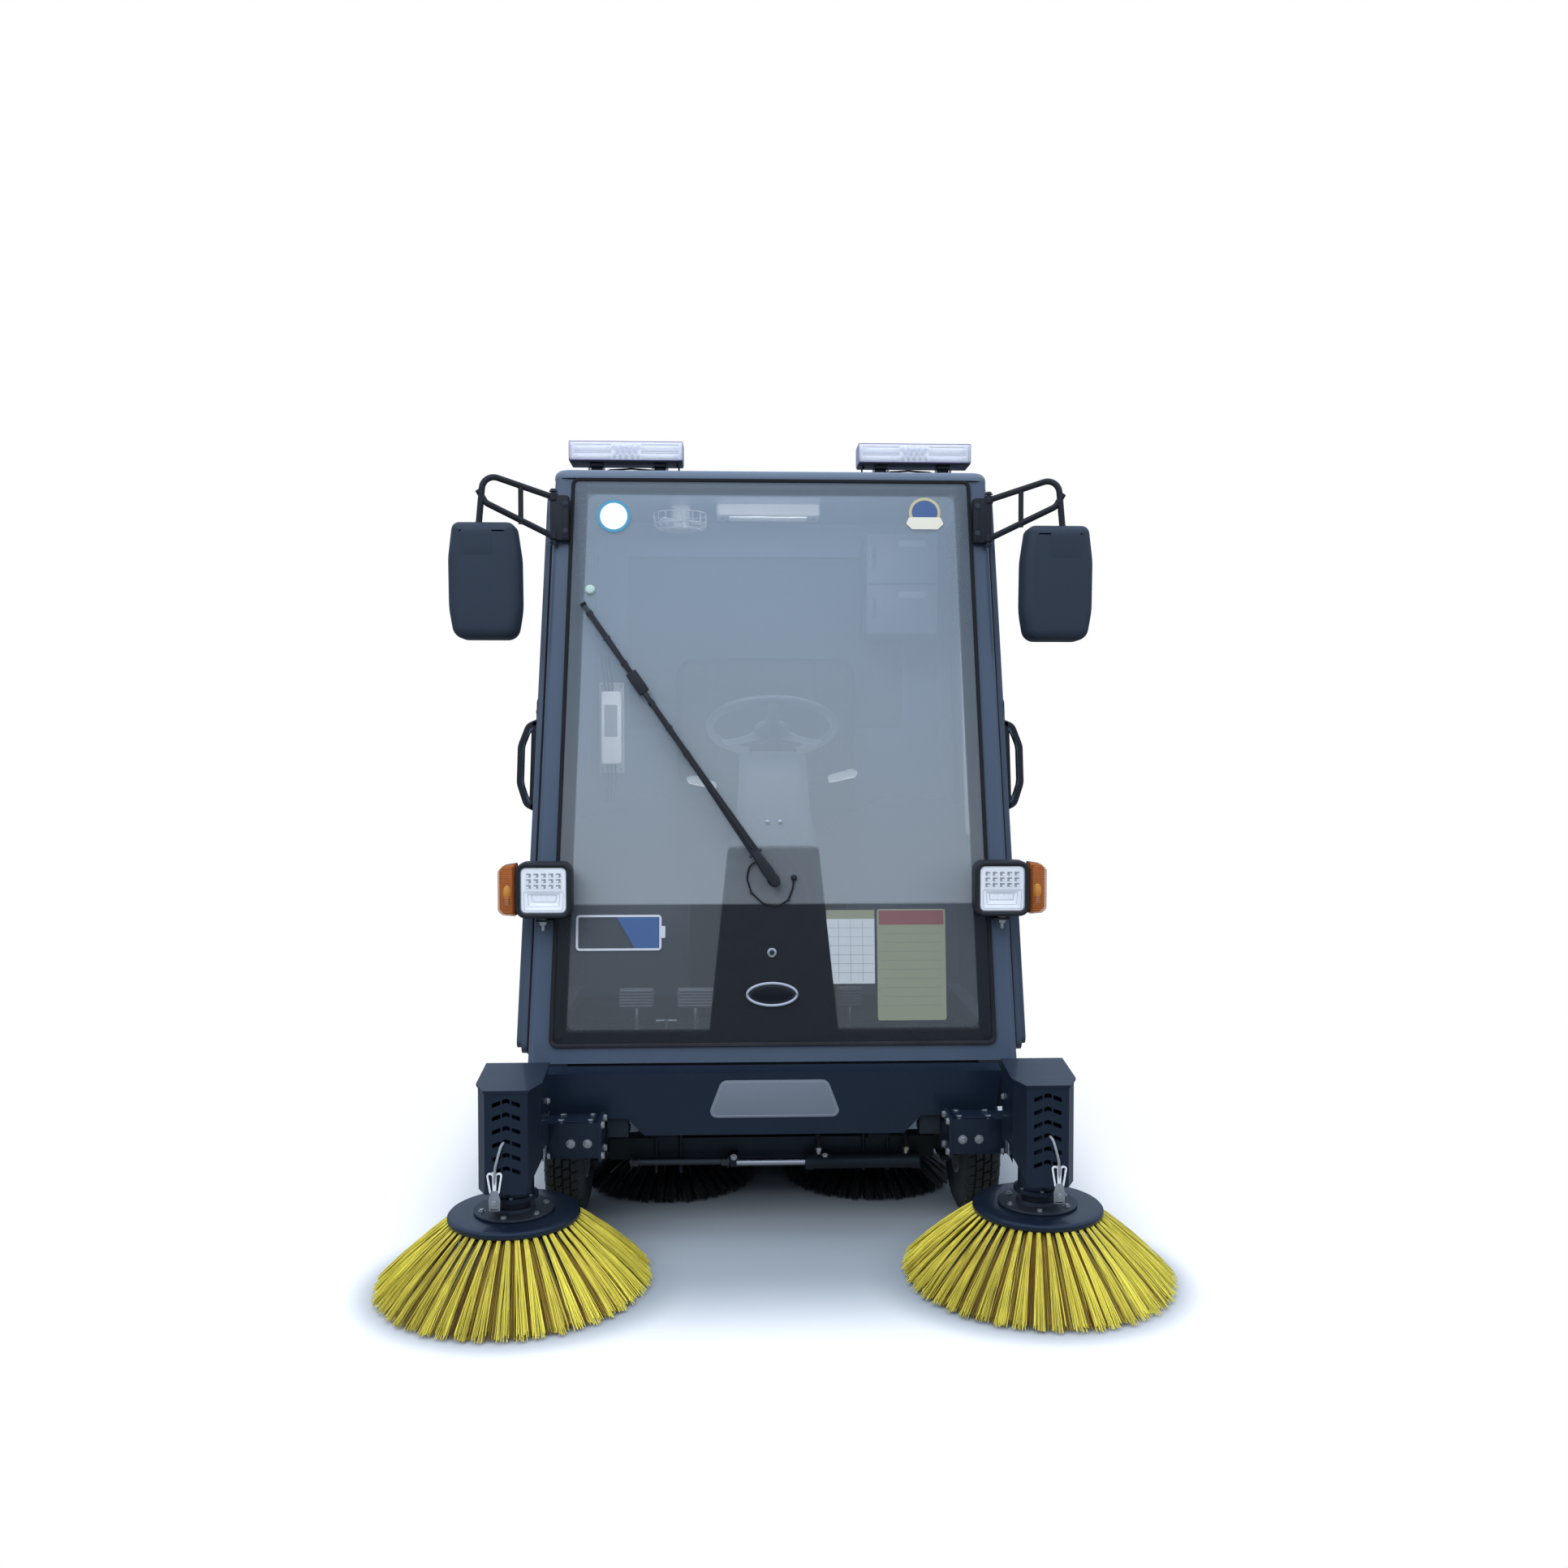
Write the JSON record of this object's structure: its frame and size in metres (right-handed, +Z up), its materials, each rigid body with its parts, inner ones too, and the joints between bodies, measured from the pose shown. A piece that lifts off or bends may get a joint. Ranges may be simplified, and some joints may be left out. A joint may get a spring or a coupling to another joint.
{
  "type": "compact road sweeper",
  "caption": "Ride-on road sweeper with a closed cab, wide disc brushes in front, dark brushes behind the front axle, a roller under the middle and a box body at the rear.",
  "frame": {"origin": "the ground under the middle of the machine's overall length and width", "axes": "+Z up, the front faces -Y, +X to the right of someone who looks at the front"},
  "size_m": [1.9494, 2.39, 2.17],
  "materials": {
    "paint_slate": "satin",
    "paint_dark": "satin",
    "chassis_black": "satin",
    "rim_paint": "satin",
    "steel": "brushed",
    "clear_glass": "polished",
    "print_black": "gloss",
    "plastic_black": "grained",
    "plastic_grey": "grained",
    "lamp_clear": "gloss",
    "lamp_amber": "gloss",
    "lamp_red": "gloss",
    "bar_lens": "gloss",
    "bristle_yellow": "matt",
    "bristle_black": "matt",
    "tyre_rubber": "matt",
    "seat_cover": "grained",
    "battery_case": "matt"
  },
  "bodies": {
    "chassis": {"cab_frame": "paint_slate", "windscreen": "clear_glass", "windscreen_print": "print_black", "cab_floor": "plastic_black", "cab_roof": "paint_slate", "rear_window": "clear_glass", "chassis_rails": "chassis_black", "chassis_crossmembers": "chassis_black", "front_bumper": "paint_dark", "roller_hood": "chassis_black", "dust_hopper": "plastic_black", "rear_body": "paint_slate", "battery_block": "battery_case", "tail_lamps": "lamp_red", "side_skirts": "plastic_black", "front_axle": "chassis_black", "steering_linkage": "steel", "rear_axle": "chassis_black", "headlamps": "plastic_black", "indicator_lamps": "lamp_amber", "light_bars": "bar_lens", "mirrors": "plastic_black", "steering_column": "plastic_black", "seat_base": "plastic_black", "seat_cushion": "seat_cover", "seat_back": "seat_cover", "pedals": "plastic_black", "cab_fittings": "plastic_grey"},
    "hatch": {"rear_hatch": "paint_dark"},
    "roller": {"roller_brush": "bristle_black"},
    "steering_wheel": {"steering_wheel": "plastic_black"},
    "wiper": {"wiper": "plastic_black"},
    "door_right": {"door_right": "paint_slate", "door_right_glass": "clear_glass"},
    "knuckle_right": {"knuckle_right": "chassis_black"},
    "wheel_front_right": {"tyre_front_right": "tyre_rubber", "rim_front_right": "rim_paint"},
    "wheel_rear_right": {"tyre_rear_right": "tyre_rubber", "rim_rear_right": "rim_paint"},
    "front_arm_right": {"front_arm_right": "paint_dark", "brush_cover_right": "paint_dark"},
    "front_brush_right": {"front_disc_right": "steel", "front_bristles_right": "bristle_yellow"},
    "second_arm_right": {"second_arm_right": "chassis_black"},
    "second_brush_right": {"second_brush_right": "bristle_black"},
    "door_left": {"door_left": "paint_slate", "door_left_glass": "clear_glass"},
    "knuckle_left": {"knuckle_left": "chassis_black"},
    "wheel_front_left": {"tyre_front_left": "tyre_rubber", "rim_front_left": "rim_paint"},
    "wheel_rear_left": {"tyre_rear_left": "tyre_rubber", "rim_rear_left": "rim_paint"},
    "front_arm_left": {"front_arm_left": "paint_dark", "brush_cover_left": "paint_dark"},
    "front_brush_left": {"front_disc_left": "steel", "front_bristles_left": "bristle_yellow"},
    "second_arm_left": {"second_arm_left": "chassis_black"},
    "second_brush_left": {"second_brush_left": "bristle_black"}
  },
  "joints": [
    {"name": "steering_wheel_turn", "type": "hinge", "parent": "chassis", "child": "steering_wheel", "pos_m": [0.009, -0.06, 1.362], "axis": [0, 0.4226, 0.9063], "range_deg": [-360, 360]},
    {"name": "roller_spin", "type": "hinge", "parent": "chassis", "child": "roller", "pos_m": [0, 0.4, 0.15], "axis": [1, 0, 0], "continuous": true},
    {"name": "rear_hatch_hinge", "type": "hinge", "parent": "chassis", "child": "hatch", "pos_m": [0, 1.1593, 1.132], "axis": [1, 0, 0], "range_deg": [0, 85]},
    {"name": "wiper_sweep", "type": "hinge", "parent": "chassis", "child": "wiper", "pos_m": [0, -0.5263, 0.94746], "axis": [0, 0.9924, -0.1231], "range_deg": [0, 69]},
    {"name": "door_right_hinge", "type": "hinge", "parent": "chassis", "child": "door_right", "pos_m": [0.67129, 0.368, 0.4656], "axis": [-0.0348, 0, 0.9994], "range_deg": [0, 80]},
    {"name": "kingpin_right", "type": "hinge", "parent": "chassis", "child": "knuckle_right", "pos_m": [0.485, -0.36, 0.2], "axis": [0, 0, 1], "range_deg": [-25, 25]},
    {"name": "wheel_front_right_spin", "type": "hinge", "parent": "knuckle_right", "child": "wheel_front_right", "pos_m": [0.565, -0.36, 0.2], "axis": [1, 0, 0], "continuous": true},
    {"name": "wheel_rear_right_spin", "type": "hinge", "parent": "chassis", "child": "wheel_rear_right", "pos_m": [0.565, 0.74, 0.2], "axis": [1, 0, 0], "continuous": true},
    {"name": "front_arm_right_lift", "type": "hinge", "parent": "chassis", "child": "front_arm_right", "pos_m": [0.42, -0.575, 0.297], "axis": [-1, 0, 0], "range_deg": [0, 15]},
    {"name": "front_brush_right_spin", "type": "hinge", "parent": "front_arm_right", "child": "front_brush_right", "pos_m": [0.64, -0.86, 0.18], "axis": [0, 0, 1], "continuous": true},
    {"name": "second_arm_right_lift", "type": "hinge", "parent": "chassis", "child": "second_arm_right", "pos_m": [0.2, -0.32, 0.29], "axis": [1, 0, 0], "range_deg": [0, 10]},
    {"name": "second_brush_right_spin", "type": "hinge", "parent": "second_arm_right", "child": "second_brush_right", "pos_m": [0.3, -0.08, 0.115], "axis": [0, 0, 1], "continuous": true},
    {"name": "door_left_hinge", "type": "hinge", "parent": "chassis", "child": "door_left", "pos_m": [-0.67129, 0.368, 0.4656], "axis": [-0.0348, 0, -0.9994], "range_deg": [0, 80]},
    {"name": "kingpin_left", "type": "hinge", "parent": "chassis", "child": "knuckle_left", "pos_m": [-0.485, -0.36, 0.2], "axis": [0, 0, 1], "range_deg": [-25, 25]},
    {"name": "wheel_front_left_spin", "type": "hinge", "parent": "knuckle_left", "child": "wheel_front_left", "pos_m": [-0.565, -0.36, 0.2], "axis": [1, 0, 0], "continuous": true},
    {"name": "wheel_rear_left_spin", "type": "hinge", "parent": "chassis", "child": "wheel_rear_left", "pos_m": [-0.565, 0.74, 0.2], "axis": [1, 0, 0], "continuous": true},
    {"name": "front_arm_left_lift", "type": "hinge", "parent": "chassis", "child": "front_arm_left", "pos_m": [-0.42, -0.575, 0.297], "axis": [-1, 0, 0], "range_deg": [0, 15]},
    {"name": "front_brush_left_spin", "type": "hinge", "parent": "front_arm_left", "child": "front_brush_left", "pos_m": [-0.64, -0.86, 0.18], "axis": [0, 0, 1], "continuous": true},
    {"name": "second_arm_left_lift", "type": "hinge", "parent": "chassis", "child": "second_arm_left", "pos_m": [-0.2, -0.32, 0.29], "axis": [1, 0, 0], "range_deg": [0, 10]},
    {"name": "second_brush_left_spin", "type": "hinge", "parent": "second_arm_left", "child": "second_brush_left", "pos_m": [-0.3, -0.08, 0.115], "axis": [0, 0, 1], "continuous": true}
  ],
  "couplings": [
    {"joint": "kingpin_right", "follows": "steering_wheel_turn", "ratio": 0.069444},
    {"joint": "kingpin_left", "follows": "steering_wheel_turn", "ratio": 0.069444}
  ]
}
